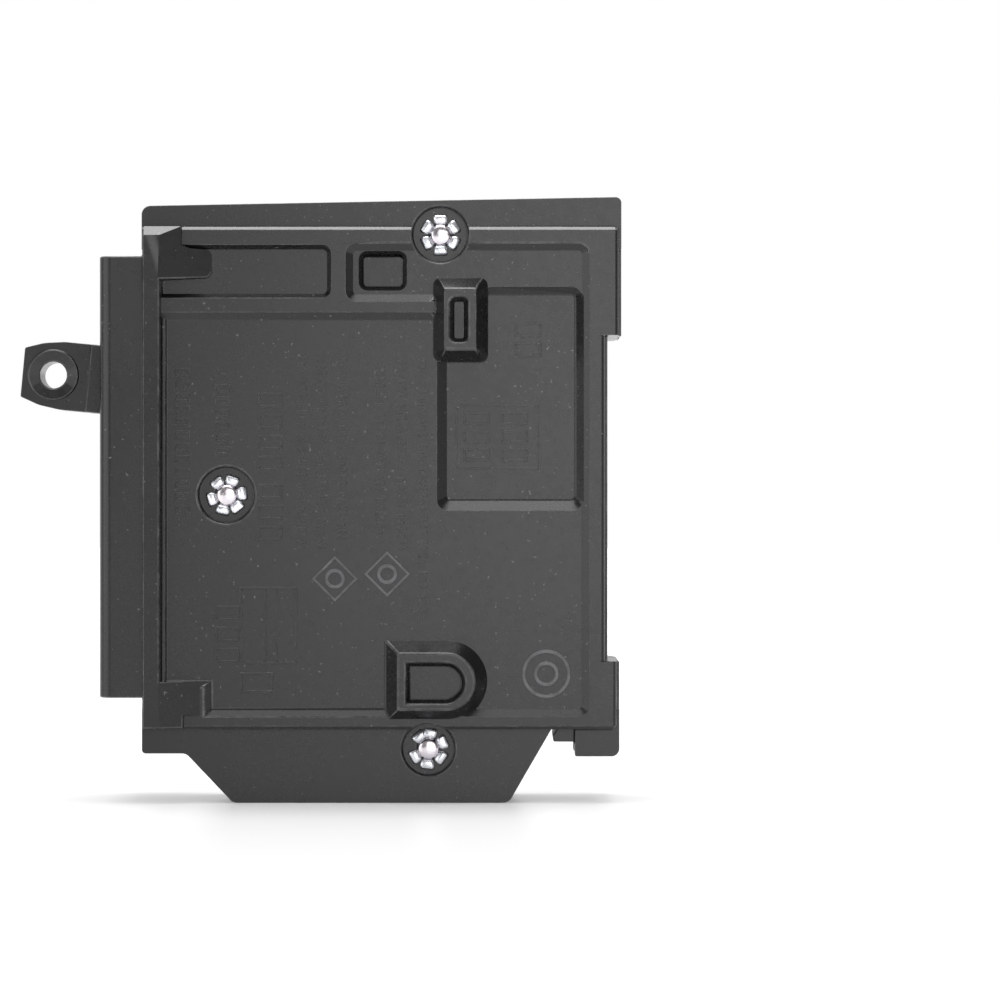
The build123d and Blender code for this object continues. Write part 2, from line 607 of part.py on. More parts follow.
with BuildPart() as terminal_screw:
    with BuildSketch(Plane.YZ.offset(HEAD_X)):
        with Locations((0, SCREW_Z)):
            Circle(HEAD_RADIUS)
    extrude(amount=HEAD_LENGTH)
    fillet(terminal_screw.edges().group_by(Axis.X)[0], 0.8)
    with BuildSketch(Plane.YZ.offset(HEAD_X)):
        with Locations((0, SCREW_Z)):
            Rectangle(1.0, 2 * HEAD_RADIUS + 1)
            Rectangle(3.6, 1.0)
    extrude(amount=1.3, mode=Mode.SUBTRACT)
    with BuildSketch(Plane.YZ.offset(HEAD_X + HEAD_LENGTH)):
        with Locations((0, SCREW_Z)):
            Circle(SHANK_RADIUS)
    extrude(amount=10.6)
    chamfer(terminal_screw.edges().group_by(Axis.X)[-1], 0.5)

# ---- flexible braid from the contact arm to the bimetal --------------------------------
with BuildPart() as flexible_braid:
    start = arm_plane(0).from_local_coords((17.5, 4.0, 0))
    with BuildLine() as route:
        FilletPolyline((start.X, -0.8, start.Z), (start.X, -3.9, start.Z), (start.X + 1.0, -4.3, 47.0),
                       (16.5, -4.3, 43.2), (23.5, -1.7, 42.6), (BIMETAL_X, -1.7, 42.6), radius=0.9)
    with BuildSketch(Plane(origin=route.line @ 0, z_dir=route.line % 0)):
        Circle(0.8)
    sweep()

# ---- line side: plug-on jaw, spring clip, fixed contact, arc chute --------------------
JAW_INNER, JAW_THICK = 0.8, 0.8
JAW_FRONT, JAW_BACK = 29.5, 37.3
JAW_LOW, JAW_HIGH = 62.5, 69.3
JAW_NECK, JAW_SILL = 34.7, 66.3      # the jaw reaches through the wall above the slot's sill
STRAP_LOW = CONTACT_Z + 1.0

with BuildPart() as line_jaw:
    for s in (-1, 1):
        inner, outer = s * JAW_INNER, s * (JAW_INNER + JAW_THICK)
        with BuildSketch(Plane.XY.offset(JAW_LOW)):
            Polygon((JAW_FRONT, inner), (JAW_NECK, inner), (JAW_NECK, outer), (JAW_FRONT, outer))
        extrude(amount=JAW_HIGH - JAW_LOW)
        with BuildSketch(Plane.XY.offset(JAW_SILL)):
            Polygon((JAW_NECK, inner), (35.4, inner), (JAW_BACK, s * 1.1), (JAW_BACK, s * 1.9),
                    (35.2, outer), (JAW_NECK, outer))
        extrude(amount=JAW_HIGH - JAW_SILL)
        # lips that spread above the slot
        reach = 5.8 if s > 0 else 3.4
        with BuildSketch(Plane.YZ.offset(34.7)):
            Polygon((s * 0.8, JAW_HIGH - 0.2), (s * 1.6, JAW_HIGH - 0.2), (s * 3.2, 71.1), (s * reach, 71.25),
                    (s * reach, 71.8), (s * 2.9, 71.8))
        extrude(amount=2.5)
    with BuildSketch(at_y(-JAW_INNER - JAW_THICK)):
        Polygon((JAW_FRONT - 0.2, STRAP_LOW), (JAW_FRONT + 0.8, STRAP_LOW), (JAW_FRONT + 0.8, JAW_HIGH),
                (JAW_FRONT - 0.2, JAW_HIGH))
    extrude(amount=-2 * (JAW_INNER + JAW_THICK))
    with BuildSketch(at_y(-2.5)):
        Polygon((14.6, STRAP_LOW), (JAW_FRONT + 0.8, STRAP_LOW), (JAW_FRONT + 0.8, STRAP_LOW + 1.2),
                (14.6, STRAP_LOW + 1.2))
    extrude(amount=-5.0)

with BuildPart() as jaw_spring_clip:
    side_y = JAW_INNER + JAW_THICK
    with BuildSketch(Plane.XY.offset(64)):
        Polygon((28.7, -side_y - 0.5), (34.5, -side_y - 0.5), (34.5, -side_y), (29.2, -side_y),
                (29.2, side_y), (34.5, side_y), (34.5, side_y + 0.5), (28.7, side_y + 0.5))
    extrude(amount=4.6)
    with BuildSketch(at_y(side_y)):
        Polygon((32.6, 68), (34.3, 68), (34.3, 73.3), (32.6, 73.3))
    extrude(amount=-0.5)

with BuildPart() as stationary_contact:
    with BuildSketch(Plane.XY.offset(CONTACT_Z)):
        with Locations((CONTACT_X, 0)):
            Circle(2.3)
    extrude(amount=1.0)

CHUTE_FRONT, CHUTE_BACK, CHUTE_HALF = 18.5, 27.2, 5.4
with BuildPart() as arc_plates:
    for level in range(5):
        with BuildSketch(Plane.XY.offset(46.6 + 2.5 * level)):
            Polygon((CHUTE_FRONT, -CHUTE_HALF), (CHUTE_BACK, -CHUTE_HALF), (CHUTE_BACK, CHUTE_HALF),
                    (CHUTE_FRONT, CHUTE_HALF), (CHUTE_FRONT, 3.1), (23.6, 3.1), (24.6, 0), (23.6, -3.1),
                    (CHUTE_FRONT, -3.1))
        extrude(amount=0.9)

with BuildPart() as arc_chute_walls:
    for s in (-1, 1):
        with BuildSketch(at_y(s * CHUTE_HALF)):
            Polygon((CHUTE_FRONT - 0.4, 45.6), (CHUTE_BACK + 0.4, 45.6), (CHUTE_BACK + 0.4, 58.4),
                    (CHUTE_FRONT - 0.4, 58.4))
        extrude(amount=-s * 0.8)

# ---- rivets: head on the cover, split and flared end on the base ----------------------
with BuildPart() as case_rivets:
    for x, z, seat, _ in RIVETS:
        with BuildSketch(at_y(-seat)):
            with Locations((x, z)):
                Circle(RIVET_HOLE)
        extrude(amount=-2 * seat)
        with BuildSketch(at_y(seat)):
            with Locations((x, z)):
                Circle(2.7)
        extrude(amount=-0.9, taper=18)
        with BuildSketch(at_y(-seat)):
            with Locations((x, z)):
                Circle(1.75)
                with PolarLocations(1.7, 6, start_angle=30):
                    RectangleRounded(1.7, 1.25, 0.4)
        extrude(amount=0.55, taper=8)
        with BuildSketch(at_y(-seat - 0.5)):
            with Locations((x, z)):
                Circle(1.25)
        extrude(amount=0.6, taper=25)

# ---- labels and files -----------------------------------------------------------------
pieces = {
    "case_base": case_half(BASE), "case_cover": case_half(COVER), "handle": handle,
    "handle_pivot_pin": handle_pivot_pin.part, "contact_arm": contact_arm.part,
    "contact_arm_pin": contact_arm_pin.part, "moving_contact": moving_contact.part,
    "toggle_spring": toggle_spring.part, "trip_lever": trip_lever.part,
    "trip_lever_pin": trip_lever_pin.part, "armature": armature.part, "armature_pin": armature_pin.part,
    "armature_spring": armature_spring.part, "magnet_yoke": magnet_yoke.part, "bimetal": bimetal.part,
    "calibration_screw": calibration_screw.part, "flexible_braid": flexible_braid.part,
    "load_strap": load_strap.part, "terminal_screw": terminal_screw.part,
    "pressure_plate": pressure_plate.part, "line_jaw": line_jaw.part,
    "jaw_spring_clip": jaw_spring_clip.part, "stationary_contact": stationary_contact.part,
    "arc_plates": arc_plates.part, "arc_chute_walls": arc_chute_walls.part,
    "case_rivets": case_rivets.part,
}
for name, piece in pieces.items():
    piece.label = name
    export_step(piece, f"parts/{name}.step")
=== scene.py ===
import json
import math
import random

import bmesh
import bpy
import numpy as np
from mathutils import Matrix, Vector, noise


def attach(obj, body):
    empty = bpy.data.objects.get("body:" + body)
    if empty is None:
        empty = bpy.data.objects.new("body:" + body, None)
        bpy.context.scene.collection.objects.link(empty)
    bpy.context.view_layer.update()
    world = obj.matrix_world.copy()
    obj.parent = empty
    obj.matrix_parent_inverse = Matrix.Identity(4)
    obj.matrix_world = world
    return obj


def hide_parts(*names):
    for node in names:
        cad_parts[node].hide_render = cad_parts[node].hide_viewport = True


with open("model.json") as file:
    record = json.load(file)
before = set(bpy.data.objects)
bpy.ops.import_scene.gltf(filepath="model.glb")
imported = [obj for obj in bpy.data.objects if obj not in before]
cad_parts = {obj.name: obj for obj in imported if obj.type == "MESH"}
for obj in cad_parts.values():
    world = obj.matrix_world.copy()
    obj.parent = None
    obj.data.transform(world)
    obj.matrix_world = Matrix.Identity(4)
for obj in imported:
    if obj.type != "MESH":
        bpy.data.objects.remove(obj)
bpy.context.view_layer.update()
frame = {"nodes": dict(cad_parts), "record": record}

MM = 0.001


# ---- node helpers ---------------------------------------------------------------------
class Nodes:
    """A material's node tree with short calls for the nodes used here."""

    def __init__(self, name):
        self.mat = bpy.data.materials.new(name)
        self.mat.use_nodes = True
        self.tree = self.mat.node_tree
        self.tree.nodes.clear()
        self.out = self.add("ShaderNodeOutputMaterial")
        self.bsdf = self.add("ShaderNodeBsdfPrincipled")
        self.link(self.bsdf.outputs[0], self.out.inputs[0])

    def add(self, kind, **values):
        node = self.tree.nodes.new(kind)
        for key, value in values.items():
            setattr(node, key, value)
        return node

    def link(self, a, b):
        self.tree.links.new(a, b)

    def set(self, **values):
        for key, value in values.items():
            self.bsdf.inputs[key.replace("_", " ")].default_value = value

    def position(self):
        """Object-space position in millimetres."""
        coords = self.add("ShaderNodeTexCoord")
        scale = self.add("ShaderNodeVectorMath", operation="SCALE")
        self.link(coords.outputs["Object"], scale.inputs[0])
        scale.inputs["Scale"].default_value = 1000.0
        return scale.outputs[0]

    def stretched(self, vector, factors):
        node = self.add("ShaderNodeVectorMath", operation="MULTIPLY")
        self.link(vector, node.inputs[0])
        node.inputs[1].default_value = factors
        return node.outputs[0]

    def noise(self, vector, scale, detail=3.0, rough=0.55, distort=0.0):
        node = self.add("ShaderNodeTexNoise")
        self.link(vector, node.inputs["Vector"])
        node.inputs["Scale"].default_value = scale
        node.inputs["Detail"].default_value = detail
        node.inputs["Roughness"].default_value = rough
        node.inputs["Distortion"].default_value = distort
        return node.outputs["Fac"]

    def ramp(self, value, stops):
        node = self.add("ShaderNodeValToRGB")
        self.link(value, node.inputs[0])
        elements = node.color_ramp.elements
        while len(elements) < len(stops):
            elements.new(0.5)
        for element, (place, level) in zip(elements, stops):
            element.position = place
            element.color = (level, level, level, 1) if isinstance(level, (int, float)) else (*level, 1)
        return node.outputs[0]

    def math(self, operation, a, b=0.0, clamp=False):
        node = self.add("ShaderNodeMath", operation=operation, use_clamp=clamp)
        for socket, value in zip(node.inputs, (a, b)):
            if isinstance(value, (int, float)):
                socket.default_value = value
            else:
                self.link(value, socket)
        return node.outputs[0]

    def mix(self, factor, a, b, blend="MIX"):
        node = self.add("ShaderNodeMix", data_type="RGBA", blend_type=blend)
        for socket, value in zip((node.inputs[0], node.inputs[6], node.inputs[7]), (factor, a, b)):
            if isinstance(value, (int, float)):
                socket.default_value = value
            elif isinstance(value, tuple):
                socket.default_value = (*value, 1)
            else:
                self.link(value, socket)
        return node.outputs[2]

    def mapped(self, value, low, high, to_low=0.0, to_high=1.0):
        node = self.add("ShaderNodeMapRange")
        self.link(value, node.inputs[0])
        for socket, number in zip(node.inputs[1:5], (low, high, to_low, to_high)):
            socket.default_value = number
        return node.outputs[0]

    def zone(self, where, x0, x1, z0, z1, soft=1.2):
        """1 inside a box across X and Z, falling to 0 over soft millimetres around it."""
        split = self.add("ShaderNodeSeparateXYZ")
        self.link(where, split.inputs[0])
        inside = 1.0
        for value, low, high in ((split.outputs[0], x0, x1), (split.outputs[2], z0, z1)):
            inside = self.math("MULTIPLY", self.mapped(value, low - soft, low), inside)
            inside = self.math("MULTIPLY", self.mapped(value, high + soft, high), inside)
        return inside

    def bump(self, height, strength, distance):
        node = self.add("ShaderNodeBump")
        node.inputs["Strength"].default_value = strength
        node.inputs["Distance"].default_value = distance
        self.link(height, node.inputs["Height"])
        self.link(node.outputs[0], self.bsdf.inputs["Normal"])


# ---- materials ------------------------------------------------------------------------
def moulded(name, base, high, rough, rub_and_highlight=0.0, grain=1.0, scuffs=()):
    """Satin moulded plastic: faint haze and mottling, dust specks; the fifth argument sets how much lighter
    an edge is, by rubbed wear and painted highlight.

    Each scuff is (x low, x high, z low, z high, how dense): a place rubbed by handling."""
    n = Nodes(name)
    where = n.position()
    haze = n.noise(where, 0.045, 4.0, 0.6)
    mottle = n.noise(where, 0.9, 6.0, 0.7)
    specks = n.ramp(n.noise(where, 2.3, 2.0, 0.5), [(0.715, 0.0), (0.735, 1.0)])
    tone = n.mix(n.ramp(haze, [(0.35, 0.0), (0.7, 1.0)]), base, high)
    # lighter patches on edges: partly rubbed wear, partly painted highlight
    if rub_and_highlight:
        rub_and_highlight_mask = n.ramp(n.noise(where, 0.5, 6.0, 0.75), [(0.40, 0.08), (0.66, 1.0)])
        tone = n.mix(n.math("MULTIPLY", rub_and_highlight_mask, rub_and_highlight), tone, (0.13, 0.13, 0.135))
    rub = n.noise(n.stretched(where, (1, 1, 1.6)), 1.5, 5.0, 0.72)
    for x0, x1, z0, z1, dense in scuffs:
        zone = n.zone(where, x0, x1, z0, z1)
        marks = n.ramp(n.math("ADD", rub, n.math("MULTIPLY", zone, dense)), [(0.80, 0.0), (0.92, 1.0)])
        tone = n.mix(n.math("MULTIPLY", n.math("MULTIPLY", marks, zone), 0.75), tone, (0.19, 0.19, 0.19))
    tone = n.mix(n.math("MULTIPLY", specks, 0.5), tone, (0.20, 0.20, 0.20))
    n.link(tone, n.bsdf.inputs["Base Color"])
    n.link(n.math("ADD", n.mapped(mottle, 0.3, 0.75, rough - 0.02, rough + 0.05),
                  n.mapped(haze, 0.3, 0.7, -0.03, 0.03)), n.bsdf.inputs["Roughness"])
    n.set(IOR=1.5)
    n.bump(n.noise(where, 5.0, 4.0, 0.6), 0.10 * grain, 0.02 * MM)
    return n.mat


def metal(name, colour, dark, rough, brushed=(1, 1, 1)):
    """Bare or plated metal with drawn or tumbled texture and duller patches."""
    n = Nodes(name)
    where = n.position()
    fine = n.noise(n.stretched(where, brushed), 3.0, 4.0, 0.6)
    dull = n.noise(where, 0.7, 4.0, 0.6)
    tone = n.mix(n.ramp(dull, [(0.38, 0.0), (0.72, 1.0)]), colour, dark)
    n.link(tone, n.bsdf.inputs["Base Color"])
    n.link(n.mapped(fine, 0.3, 0.7, rough - 0.07, rough + 0.12), n.bsdf.inputs["Roughness"])
    n.set(Metallic=1.0)
    n.bump(fine, 0.15, 0.02 * MM)
    return n.mat


def stained_plating(name):
    """Plated jaw: bright plating with yellow grease, orange and green-brown stains at the lips."""
    n = Nodes(name)
    where = n.position()
    fine = n.noise(where, 3.0, 4.0, 0.6)
    patches = n.noise(where, 0.9, 5.0, 0.7, 0.6)
    split = n.add("ShaderNodeSeparateXYZ")
    n.link(where, split.inputs[0])
    near_lips = n.mapped(split.outputs[0], 34.2, 37.6)
    amount = n.math("MULTIPLY", n.ramp(patches, [(0.34, 0.0), (0.55, 1.0)]), near_lips, clamp=True)
    stain = n.ramp(n.noise(where, 1.3, 3.0, 0.6, 0.4),
                   [(0.3, (0.10, 0.09, 0.03)), (0.45, (0.42, 0.17, 0.03)), (0.58, (0.72, 0.45, 0.08)),
                    (0.75, (0.75, 0.66, 0.30))])
    n.link(n.mix(amount, (0.72, 0.72, 0.68), stain), n.bsdf.inputs["Base Color"])
    n.link(n.mapped(amount, 0.0, 1.0, 1.0, 0.15), n.bsdf.inputs["Metallic"])
    n.link(n.math("ADD", n.mapped(fine, 0.3, 0.7, 0.22, 0.36), n.math("MULTIPLY", amount, 0.3)),
           n.bsdf.inputs["Roughness"])
    n.bump(n.math("ADD", fine, n.math("MULTIPLY", patches, 1.5)), 0.3, 0.05 * MM)
    return n.mat


def fibre_board(name):
    n = Nodes(name)
    where = n.position()
    fibres = n.noise(n.stretched(where, (1, 1, 0.15)), 4.0, 5.0, 0.7)
    n.link(n.mix(n.ramp(fibres, [(0.35, 0.0), (0.7, 1.0)]), (0.22, 0.07, 0.045), (0.40, 0.17, 0.11)),
           n.bsdf.inputs["Base Color"])
    n.set(Roughness=0.85)
    n.bump(fibres, 0.3, 0.05 * MM)
    return n.mat


SCUFFS = [(-22.5, -14.0, 73.4, 76.6, 0.13), (-19.2, -9.8, 62.4, 63.4, 0.20), (0.0, 7.0, 73.5, 76.0, 0.14),
          (33.0, 35.6, 73.6, 75.4, 0.20), (-22.0, -20.0, 62.0, 72.5, 0.18), (-22.0, -15.0, 10.0, 15.5, 0.14),
          (28.0, 34.5, 10.0, 14.0, 0.14), (-12.0, -6.0, 9.0, 10.5, 0.16), (-27.6, -26.8, 13.0, 70.0, 0.12)]
PLASTIC = (0.006, 0.006, 0.0065), (0.010, 0.010, 0.0105)
materials = {
    "case_plastic": moulded("case_phenolic", *PLASTIC, 0.26, scuffs=SCUFFS),
    "handle_plastic": moulded("handle_nylon", *PLASTIC, 0.28, grain=0.6),
    "zinc_steel": metal("bright_zinc", (0.82, 0.84, 0.88), (0.62, 0.63, 0.66), 0.26),
    "steel": metal("stamped_steel", (0.42, 0.42, 0.43), (0.28, 0.27, 0.26), 0.38, (1, 1, 0.15)),
    "spring_steel": metal("spring_steel_wire", (0.62, 0.62, 0.63), (0.5, 0.5, 0.5), 0.24),
    "copper": metal("bare_copper", (0.70, 0.33, 0.19), (0.42, 0.20, 0.12), 0.34, (0.15, 1, 1)),
    "tinned_copper": stained_plating("stained_plating"),
    "silver": metal("silver_contact", (0.80, 0.78, 0.74), (0.55, 0.52, 0.47), 0.30),
    "bimetal_strip": metal("rolled_bimetal", (0.50, 0.47, 0.42), (0.36, 0.33, 0.28), 0.34, (1, 1, 0.1)),
    "fibre": fibre_board("vulcanised_fibre"),
}
# outer rounded edges: lighter plastic all along them, partly rubbed wear and partly painted highlight
rubbed_and_highlit_edge = moulded("case_phenolic_edge", (0.014, 0.014, 0.015), (0.022, 0.022, 0.023), 0.28, 0.6,
                    scuffs=SCUFFS)
# sides of the raised marks: much lighter plastic, a painted highlight where light catches the tiny slopes
mark_sides_painted_highlight = moulded("mark_sides_painted_highlight", (0.04, 0.04, 0.041), (0.07, 0.07, 0.071), 0.34, 0.95)
polished_pin = metal("polished_zinc", (0.80, 0.74, 0.77), (0.62, 0.60, 0.66), 0.16)
slot_of = {part["node"]: part["material_slot"] for part in frame["record"]["subparts"]}
for name, node in frame["nodes"].items():
    node.data.materials.clear()
    node.data.materials.append(materials[slot_of[name]])


# ---- softened copies of the moulded pieces --------------------------------------------
# angles within which faces count as one plane, as one broad face, or as a gently curved surface
FLAT = math.radians(0.8)
NEARLY_FLAT = math.radians(2.6)
SAME_SIDE = math.cos(math.radians(3.6))
GENTLE = math.radians(12)
STRIP = 1.3 * MM                  # strips of curved surfaces are narrower than this, or bend gently
HARD = 28                         # degrees: edges that bend more than this are rounded
SEGMENTS = 3
ROOM_SHARE = 0.42                 # part of the clear width that a rounded edge may take up
SHORT_ENDS = 0.06                 # part of a chain whose tightest edges don't set its rounding
LEAST = 0.03 * MM                 # edges with less room than this stay sharp


def flat_regions(faces, hard, bend=FLAT):
    """Groups of faces that lie in one plane, cut from each other by the hard edges."""
    left = set(faces)
    while left:
        region, front = [], [left.pop()]
        while front:
            face = front.pop()
            region.append(face)
            for edge in face.edges:
                if edge in hard or len(edge.link_faces) != 2 or edge.calc_face_angle(0) > bend:
                    continue
                fresh = [other for other in edge.link_faces if other in left]
                left.difference_update(fresh)
                front += fresh
        yield region


def smooth_chains(hard):
    """Groups of hard edges that run on into each other with little change of direction."""
    left = set(hard)
    while left:
        chain, front = [], [left.pop()]
        while front:
            edge = front.pop()
            chain.append(edge)
            for vert in edge.verts:
                away = (edge.other_vert(vert).co - vert.co).normalized()
                for other in vert.link_edges:
                    if other not in left:
                        continue
                    if (other.other_vert(vert).co - vert.co).normalized().dot(away) < -0.75:
                        left.discard(other)
                        front.append(other)
        yield chain


def clear_width(points, normal, a, b):
    """Distance inside a flat region, square to its edge from a to b, to the region's other hard edges."""
    along = (b - a).normalized()
    half = (b - a).length / 2
    offset = points - np.array((a + b) / 2)
    past_end = np.maximum(np.abs(offset @ np.array(along)) - half, 0)
    depth = offset @ np.array(normal.cross(along))
    facing = (depth > 0.01 * MM) & (depth > 0.7 * past_end) & (past_end < 1.5 * MM)
    return depth[facing].min() if facing.any() else 1.0


def weigh_edges(work, width, most):
    """Gives each hard edge a bevel weight that leaves room for the edges around it.

    most(a, b) is the widest bevel for the edge from a to b."""
    weights = work.edges.layers.float.new("bevel_weight_edge")
    hard = {e for e in work.edges if len(e.link_faces) == 2 and e.calc_face_angle(0) > math.radians(HARD)}
    room = dict.fromkeys(hard, 1.0)
    for region in flat_regions(work.faces, hard):
        rim = [(loop.edge, loop.vert.co, loop.link_loop_next.vert.co, face.normal)
               for face in region for loop in face.loops if loop.edge in hard]
        points = []
        for _, a, b, _ in rim:
            steps = max(1, int((b - a).length / (0.8 * MM)) + 1)
            points += [a.lerp(b, k / steps) for k in range(steps)]
        points = np.array(points)
        for edge, a, b, normal in rim:
            room[edge] = min(room[edge], clear_width(points, normal, a, b))
    for chain in smooth_chains(hard):
        ordered = sorted(chain, key=room.get)
        spare = SHORT_ENDS * sum(e.calc_length() for e in ordered)
        while spare > ordered[0].calc_length():
            spare -= ordered[0].calc_length()
            ordered.pop(0)
        tightest = ordered[0]
        reach = min(ROOM_SHARE * room[tightest], most(*(vert.co for vert in tightest.verts)))
        for edge in chain:
            edge[weights] = reach / width if reach > LEAST else 0.0
    bmesh.ops.triangulate(work, faces=work.faces)
    for _ in range(3):
        inner = [e for e in work.edges if len(e.link_faces) == 2 and e.calc_face_angle(0) < FLAT]
        bmesh.ops.beautify_fill(work, faces=work.faces, edges=inner, use_restrict_tag=False, method="ANGLE")


def piece_from(work, name, body, replaced, slot, mats):
    """Makes one piece of a finished mesh, riding on a body and standing for a CAD node."""
    mesh = bpy.data.meshes.new(name)
    work.to_mesh(mesh)
    work.free()
    piece = bpy.data.objects.new(name, mesh)
    bpy.context.scene.collection.objects.link(piece)
    for mat in mats:
        mesh.materials.append(mat)
    for polygon in mesh.polygons:
        polygon.use_smooth = True
    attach(piece, body)
    if replaced:
        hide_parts(replaced)
    return piece


def curved_facets(faces, angle):
    """The faces that are strips of curved surfaces: softly bent along most of their outline."""
    found = set()
    plain = set(faces)
    cut = {edge for face in plain for edge in face.edges if not plain.issuperset(edge.link_faces)}
    for region in flat_regions(plain, cut, NEARLY_FLAT):
        inside = set(region)
        rim = [edge for face in region for edge in face.edges
               if not inside.issuperset(edge.link_faces)]
        outline = sum(edge.calc_length() for edge in rim)
        area = sum(face.calc_area() for face in region)
        limit = angle if 2 * area < STRIP * outline else GENTLE
        soft = sum(edge.calc_length() for edge in rim
                   if edge not in cut and edge.calc_face_angle(math.inf) < limit)
        if soft > 0.55 * outline or (soft > 0.28 * outline and area < 4 * MM * MM):
            found |= inside
    return found


def broad_directions(faces):
    """The direction of each broad face: the mean of the group that lies almost in one plane with it."""
    left, direction = set(faces), {}
    for seed in sorted(faces, key=lambda face: (-face.calc_area(), face.index)):
        if seed not in left:
            continue
        left.discard(seed)
        group, front = [], [seed]
        while front:
            face = front.pop()
            group.append(face)
            for edge in face.edges:
                for other in edge.link_faces:
                    if other in left and other.normal.dot(seed.normal) > SAME_SIDE:
                        left.discard(other)
                        front.append(other)
        mean = sum((face.normal * face.calc_area() for face in group), Vector()).normalized()
        direction.update(dict.fromkeys(group, mean))
    return direction


def shade(mesh, angle):
    """Each flat face keeps its own direction right up to the rounded edges that join it to others.

    Rounded inner corners get the plain material, rounded outer edges keep the lighter one, which is rubbed
    wear and painted highlight."""
    work = bmesh.new()
    work.from_mesh(mesh)
    work.normal_update()
    work.verts.index_update()
    work.faces.index_update()
    near, same = math.cos(math.radians(angle)), math.cos(FLAT)
    plain = [face for face in work.faces if face.material_index == 0 and face.calc_area() > 1e-12]
    facets = curved_facets(plain, math.radians(angle))
    direction = broad_directions([face for face in plain if face not in facets])
    plain = set(plain)
    flat, bent = [], []
    for vert in work.verts:
        wide, narrow = [], []
        for face in vert.link_faces:
            if face in plain:
                group = narrow if face in facets else wide
                own = direction.get(face, face.normal)
                if not any(own.dot(known) > same for known in group):
                    group.append(own)
        flat.append(wide)
        bent.append(narrow)
    loops = []
    for face in work.faces:
        for loop in face.loops:
            wide, narrow = flat[loop.vert.index], bent[loop.vert.index]
            normal = face.normal
            if face in direction:
                choice = direction[face]
            elif wide and (face not in plain or max(normal.dot(known) for known in wide) > near):
                choice = max(wide, key=normal.dot)
            elif narrow:
                best = max(narrow, key=normal.dot)
                choice = sum((known for known in narrow if known.dot(best) > near), Vector()).normalized()
            else:
                choice = loop.vert.normal
            loops.append(Vector(choice))
    inner = []
    for face in work.faces:
        if face.material_index == 1:
            turn = 0.0
            centre = face.calc_center_median()
            for edge in face.edges:
                for other in edge.link_faces:
                    if other is not face:
                        away = (other.calc_center_median() - centre).normalized()
                        turn += away.dot(face.normal) * edge.calc_length()
            if turn > 0:
                inner.append(face.index)
    mesh.normals_split_custom_set(loops)
    work.free()
    for index in inner:
        mesh.polygons[index].material_index = 0


def on_boss(a, b):
    return min(abs(a.y), abs(b.y)) > 12.6 * MM and a.x > 8 * MM


def usual_rounding(a, b):
    """Widest bevel of a case edge: the bosses' rims are the most rounded."""
    return (0.5 if on_boss(a, b) else 0.28) * MM


def cover_rounding(a, b):
    """As usual_rounding, but sharper along the crowded top strip and tray of the cover."""
    crowded = min(a.z, b.z) > 60 * MM and not on_boss(a, b)
    return 0.12 * MM if crowded else usual_rounding(a, b)


def softened(name, body, width, most, shape=None):
    """A copy of a CAD node with its sharp edges rounded, standing for that node."""
    work = bmesh.new()
    work.from_mesh(frame["nodes"][name].data)
    bmesh.ops.remove_doubles(work, verts=work.verts, dist=2e-6)
    bmesh.ops.dissolve_limit(work, angle_limit=math.radians(0.6), verts=work.verts, edges=work.edges,
                             use_dissolve_boundaries=False)
    if shape:
        shape(work)
    weigh_edges(work, width, most)
    piece = piece_from(work, name + "_moulded", body, name, slot_of[name],
                       [materials[slot_of[name]], rubbed_and_highlit_edge])
    for layer in [a.name for a in piece.data.attributes if a.name == "custom_normal"]:
        piece.data.attributes.remove(piece.data.attributes[layer])
    bevel = piece.modifiers.new("round", "BEVEL")
    bevel.width = width
    bevel.segments = SEGMENTS
    bevel.limit_method = "WEIGHT"
    bevel.use_clamp_overlap = False
    bevel.loop_slide = False
    bevel.material = 1
    rounded = bpy.data.meshes.new_from_object(piece.evaluated_get(bpy.context.evaluated_depsgraph_get()))
    piece.modifiers.clear()
    piece.data = rounded
    shade(rounded, HARD)
    return piece


TIE_X, TIE_Z = -34.13, 54.33      # the handle's tie hole, in its rest place


def dish_eye(work):
    """Sinks the flat round the tie hole into a shallow cone on both sides."""
    for vert in work.verts:
        x, y, z = vert.co / MM
        if math.hypot(x - TIE_X, z - TIE_Z) < 2.3 and abs(y) > 3.7:
            vert.co.y *= 0.88


CASE_ROUND, HANDLE_ROUND = 0.5 * MM, 0.22 * MM
softened("case_base", "case", CASE_ROUND, usual_rounding)
softened("case_cover", "case", CASE_ROUND, cover_rounding)
softened("handle", "operating_handle", HANDLE_ROUND, lambda a, b: HANDLE_ROUND, shape=dish_eye)


# ---- rivets: domed pin in a tube end split and crimped into six petals -----------------
DOME = [(1.45, -0.2), (1.45, 0.05), (1.36, 0.05), (1.34, 0.36), (1.22, 0.54), (0.95, 0.64), (0.5, 0.71),
        (0, 0.73)]
HEAD = [(0, 0.9), (1.7, 0.9), (2.1, 0.82), (2.45, 0.6), (2.68, 0.25), (2.7, 0.0), (1.45, 0.0)]
PETAL = [(0.0, 0.30, 0.62), (0.08, 0.44, 0.69), (0.35, 0.52, 0.83), (0.65, 0.46, 0.94), (0.85, 0.36, 0.92),
         (0.96, 0.22, 0.78), (1.0, 0.05, 0.64)]     # how far out, height, half width
PETAL_IN, PETAL_OUT = 1.36, 2.62
# x, z, seat height from the middle, directions of the petals
STARS = [(15.42, 71.89, 8.6, (90, 30, -30, -90, -150, 150)),
         (-11.61, 38.98, 9.0, (70, 6, -50, -105, -165, 128)),
         (13.90, 6.83, 8.0, (85, 128, 25, -35, -95, -150))]


def turned_ring(work, x, z, profile, sides=40):
    """Turned surface about the Y axis through (x, z); the profile is (radius, y) in millimetres."""
    rings = []
    for radius, y in profile:
        turns = 1 if radius == 0 else sides
        rings.append([work.verts.new(((x + radius * math.cos(k * math.tau / sides)) * MM, y * MM,
                                      (z + radius * math.sin(k * math.tau / sides)) * MM))
                      for k in range(turns)])
    faces = []
    for low, high in zip(rings, rings[1:]):
        for k in range(sides):
            corners = (low[k % len(low)], low[(k + 1) % len(low)],
                       high[(k + 1) % len(high)], high[k % len(high)])
            faces.append(work.faces.new(list(dict.fromkeys(corners))))
    return faces


